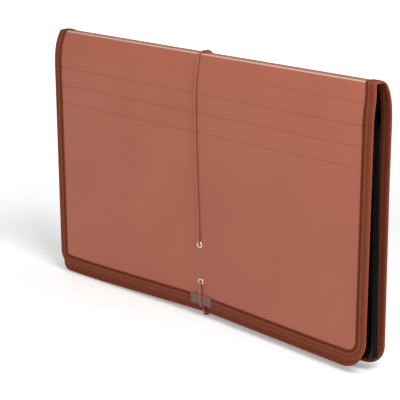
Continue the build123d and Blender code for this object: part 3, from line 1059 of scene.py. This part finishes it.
for count in DIVIDERS:
    low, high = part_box(f"index_tab_{count}")
    bm = bmesh.new()
    slip(bm, low, high, SLEEVE_CORNER)
    sleeve = piece(f"tab_sleeve_{count}", bm, [sleeve_finish], sharp=30)
    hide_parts(f"index_tab_{count}")
    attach(sleeve, f"leaf_{count}")
    bm = bmesh.new()
    slip(bm, low + CARD_INSET_LOW, high - CARD_INSET_HIGH, CARD_CORNER)
    card = piece(f"tab_card_{count}", bm, [card_finish], sharp=30)
    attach(card, f"leaf_{count}")

# %% [markdown]
# The two eyelets are rolled nickel rings. The section is a curl in front of the sheet, a short tube
# through it and a curl behind it, as pairs of a radius and a depth. It is closed in itself, and spinning
# it once round the bore makes a ring that grips the sheet.

# %% Eyelets
EYELETS = [33.4, 69.5]
EYELET_CURL = [
    (1.9, -0.7), (2.05, -1.3), (2.55, -1.5), (3.05, -1.3), (3.3, -0.8), (3.2, -0.52), (2.1, -0.5),
    (2.1, 0.5), (3.2, 0.52), (3.3, 0.8), (3.05, 1.15), (2.55, 1.3), (2.05, 1.15), (1.9, 0.7),
]
eyelet_finish, tree, shader = finish("bright_nickel", srgb(226, 223, 216), 0.2, Metallic=1.0)
tree.links.new(spread(tree, noise(tree, 900, 4), 0.14, 0.3), shader.inputs["Roughness"])
relief(tree, shader, noise(tree, 500, 2), 0.05, 0.0003)
bm = bmesh.new()
for height in EYELETS:
    ring = [bm.verts.new(mm(radius, FLAP_MIDDLE + depth, height)) for radius, depth in EYELET_CURL]
    bmesh.ops.spin(
        bm,
        geom=ring + closed(bm, ring),
        cent=mm(0, 0, height),
        axis=(0, 1, 0),
        angle=2 * math.pi,
        steps=40,
        use_merge=True,
    )
bmesh.ops.remove_doubles(bm, verts=bm.verts, dist=1e-6)
eyelets = piece("eyelet_rings", bm, [eyelet_finish], sharp=60, form=flap_form)
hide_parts("flap_eyelets")
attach(eyelets, "flap")

# %% [markdown]
# A small plain woven tag sits on the ribbon at the flap's lower edge, under the elastic. Its weave is two
# crossed sets of fine threads, one along x and one along z, made with sines. It is the same plate as a
# tab, with softened edges, and it is cut into narrow strips so that it can bend with the flap.

# %% Tag
TAG_LOW, TAG_HIGH = mm(-12.5, -13.5, FLAP_FOOT), mm(12.5, -13.0, 19.8)
TAG_CORNER, TAG_EDGE = 0.0006, 0.00018
WARP_PITCH, WEFT_PITCH = 0.0007, 0.0005
tag_finish, tree, shader = finish("bare_woven_tag", srgb(128, 100, 97), 0.7, Specular_IOR_Level=0.25)
place = add(tree, "SeparateXYZ", Vector=place_on(tree))
warp = math_node(tree, "SINE", turns(tree, place.outputs["X"], WARP_PITCH))
weft = math_node(tree, "SINE", turns(tree, place.outputs["Z"], WEFT_PITCH))
weave = spread(tree, math_node(tree, "ADD", warp, weft), 0.0, 0.5)
weave = math_node(tree, "ADD", weave, spread(tree, noise(tree, 400, 3), 0.0, 0.5))
cloth = shades(tree, weave, (0.1, srgb(113, 87, 84)), (0.9, srgb(142, 113, 108)))
tree.links.new(cloth, shader.inputs["Base Color"])
relief(tree, shader, weave, 0.35, 0.0002)
bm = bmesh.new()
slip(bm, TAG_LOW, TAG_HIGH, TAG_CORNER)
soften(bm, [e for e in bm.edges if e.calc_face_angle(0) > 1.0], TAG_EDGE, 2)
for x in range(-10, 11, 2):
    whole = bm.verts[:] + bm.edges[:] + bm.faces[:]
    bmesh.ops.bisect_plane(bm, geom=whole, dist=1e-6, plane_co=mm(x, 0, 0), plane_no=RIGHT)
tag = piece("woven_tag", bm, [tag_finish], sharp=50, form=flap_form)
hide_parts("flap_tag")
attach(tag, "flap")

# %% [markdown]
# The elastic is a round braided cord in the cover's colour. Two sets of sines that wind opposite ways
# give the braid. They read two layers: the length along the cord and the share of the way round it. The
# seam of the second layer is kept on the side that touches the file.

# %% Elastic finish
BRAID_PITCH, BRAID_STRANDS = 0.0022, 4
elastic_finish, tree, shader = finish("braided_elastic", srgb(164, 94, 74), 0.7, Sheen_Weight=0.15)
shader.inputs["Sheen Tint"].default_value = (*srgb(230, 180, 160), 1)
along = turns(tree, attribute(tree, "run"), BRAID_PITCH)
round_it = turns(tree, attribute(tree, "around"), 1 / BRAID_STRANDS)
one_way = math_node(tree, "SINE", math_node(tree, "ADD", along, round_it))
other_way = math_node(tree, "SINE", math_node(tree, "SUBTRACT", along, round_it))
braid = spread(tree, math_node(tree, "MAXIMUM", one_way, other_way), 0.0, 1.0)
yarn = shades(tree, braid, (0.0, srgb(116, 60, 44)), (0.5, srgb(164, 93, 72)), (1.0, srgb(190, 117, 94)))
tree.links.new(yarn, shader.inputs["Base Color"])
relief(tree, shader, braid, 0.5, 0.0003)
print("finish", elastic_finish.name)

# %% [markdown]
# A length of the cord is a ring of edges that is extruded along a line, as the ribbon is. The ring gets
# both layers when it is made, and extruding carries the share of the way round along with it.

# %% A length of cord
CORD_RADIUS = 0.00105


def cord_ring(bm, centre, heading, away):
    """A ring of edges across the cord, with its layers. Away points off the file."""
    run, around = layer(bm, "run"), layer(bm, "around")
    sideways = heading.cross(away)
    stand = Matrix((-away, sideways, heading)).transposed().to_4x4()
    ring = bmesh.ops.create_circle(
        bm, segments=14, radius=CORD_RADIUS, matrix=Matrix.Translation(centre) @ stand
    )["verts"]
    for v in ring:
        spoke = v.co - centre
        v[around] = (math.atan2(spoke.dot(sideways), -spoke.dot(away)) % (2 * math.pi)) / (2 * math.pi)
        v[run] = 0.0
    return list({e for v in ring for e in v.link_edges})


def cord_length(name, centre, heading, away, steps, replaced):
    """One length of the elastic, extruded along the line."""
    bm = bmesh.new()
    follow(bm, cord_ring(bm, centre, heading, away), steps)
    close_ends(bm)
    made = piece(name, bm, [elastic_finish], sharp=60)
    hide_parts(*replaced)
    return made


print("cord is", round(2 * CORD_RADIUS / MM, 2), "mm thick")

# %% [markdown]
# Over the crest and down the back the cord lies on the sheet, so its ring follows the same line, a little
# more than one cord's radius outside it. Near the bottom it leaves the sheet, and it turns under the file.

# %% Elastic over the crest and down the back
CORD_OUT = 1.15
CORD_UNDER, CORD_TURN = 1.35, 2.1
TURN_HEIGHT = CORD_UNDER + CORD_TURN
BACK_TURN = 11.45
cord_top = mm(0, CREST_MIDDLE, CREST_TOP + CORD_OUT)
down_back = down(ARCH_FOOT, 150, 100, 50) + [move(0, 0.15, -9.5)] * 4 + down(12, TURN_HEIGHT)
under_back = turn(-90, "X", 0, BACK_TURN, TURN_HEIGHT, CORD_TURN, 6)
elastic_back = cord_length(
    "elastic_back", cord_top, REAR, UP, rear_fold + down_back + [under_back], ["elastic_back_run"]
)
elastic_crest = cord_length("elastic_crest", cord_top, FRONT, UP, front_fold, ["elastic_crest_run"])
elastic_strip_1 = cord_length(
    "elastic_strip_1",
    mm(0, *arch_point(ARCH_RADIUS + SHEET / 2 + CORD_OUT)),
    arch_down,
    arch_out,
    strip_1_line,
    ["elastic_crest_run"],
)
elastic_strip_2 = cord_length(
    "elastic_strip_2", mm(0, FLAP_FACE - CORD_OUT, CUT_2), DOWN, FRONT, strip_2_line, ["elastic_crest_run"]
)

# %% [markdown]
# Under the file the cord crosses from sheet to sheet, in one short length from each to the next.

# %% Elastic under the file
UNDER_STOPS = [
    ("back", BACK_TURN), ("leaf_1", 8.9), ("leaf_2", 6.7),
    ("leaf_3", 4.5), ("leaf_4", 2.3), ("front", -0.2),
]
for (near, near_y), (far, far_y) in zip(UNDER_STOPS, UNDER_STOPS[1:]):
    under = cord_length(
        f"elastic_under_{far}",
        mm(0, near_y, CORD_UNDER),
        FRONT,
        DOWN,
        [move(0, far_y - near_y, 0, 6)],
        ["elastic_bottom_run"],
    )
    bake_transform(under)

# %% [markdown]
# On the flap the cord doesn't lie flat, so it is made another way: a smooth spline through a few points
# gives its line, and rings along that line are bridged into a tube.


# %% A tube along a spline
def smooth_way(points):
    """The points of a smooth spline through a few control points, in the file's middle plane."""
    line = bpy.data.curves.new("cord_way", "CURVE")
    line.dimensions = "3D"
    line.resolution_u = 5
    spline = line.splines.new("NURBS")
    spline.points.add(len(points) - 1)
    for spot, (y, z) in zip(spline.points, points):
        spot.co = (*mm(0, y, z), 1)
    spline.order_u = 3
    spline.use_endpoint_u = True
    holder = put("cord_way", line)
    bpy.context.view_layer.update()
    read = bpy.data.meshes.new_from_object(holder)
    way = [v.co.copy() for v in read.vertices]
    bpy.data.objects.remove(holder)
    bpy.data.meshes.remove(read)
    return way


def tube(bm, way):
    """Rings along a line, bridged one to the next. Gives back the tube's length."""
    last, travelled = None, 0.0
    for before, here, after in zip([way[0]] + way, way, way[1:] + [way[-1]]):
        heading = (after - before).normalized()
        away = Vector((0, heading.z, -heading.y))
        ring = cord_ring(bm, here, heading, away)
        travelled += (here - before).length
        run = layer(bm, "run")
        for v in {v for e in ring for v in e.verts}:
            v[run] = travelled
        if last:
            bmesh.ops.bridge_loops(bm, edges=last + ring)
        last = ring
    close_ends(bm)
    return travelled


print("spline and tube ready")

# %% [markdown]
# The cord comes down the flap, goes in through the upper eyelet, runs behind the sheet, comes out of the
# lower eyelet and passes over the tag to the flap's edge, where it tucks under. The points are pairs of a
# depth and a height. This length follows the flap's form.

# %% Elastic on the flap
CORD_WAY = [
    (-13.55, 180.5), (-13.55, 172), (-13.55, 140), (-13.55, 100), (-13.55, 85), (-13.8, 78), (-14.25, 73.4),
    (-13.7, 71.0), (-11.9, 70.3), (-10.15, 69.7), (-9.75, 66.5), (-9.75, 58), (-9.75, 45), (-9.75, 36.5),
    (-10.15, 33.3), (-11.9, 32.6), (-13.7, 31.9), (-14.3, 29.6), (-14.45, 26.5), (-14.65, 21), (-14.65, 14),
    (-14.25, 10.2), (-13.45, 8.1), (-11.85, 7.3), (-10.45, 8.0), (-9.75, 10), (-9.75, 14),
]
bm = bmesh.new()
cord_on_flap = tube(bm, smooth_way(CORD_WAY))
elastic_flap = piece("elastic_flap", bm, [elastic_finish], sharp=60, form=flap_form)
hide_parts("elastic_flap_run")
bend_all(elastic_back, elastic_crest, elastic_strip_1, elastic_strip_2, elastic_flap)
print("cord on the flap", round(cord_on_flap / MM, 1), "mm")

# %% [markdown]
# Below the flap the cord comes down the front panel and turns under it. Behind the flap it reaches higher
# than the eye can see, because the flap rises when the file expands.

# %% Elastic on the front panel
FRONT_TURN, CORD_RISE = -7.65, 41
bm = bmesh.new()
start = cord_ring(bm, mm(0, FRONT_TURN, CORD_UNDER), FRONT, DOWN)
follow(bm, start, [turn(-90, "X", 0, FRONT_TURN, TURN_HEIGHT, CORD_TURN, 6), move(0, 0, CORD_RISE, 8)])
close_ends(bm)
elastic_front = piece("elastic_front", bm, [elastic_finish], sharp=60, form=bow)
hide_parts("elastic_bottom_run")
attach(elastic_front, "front")
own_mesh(elastic_front)
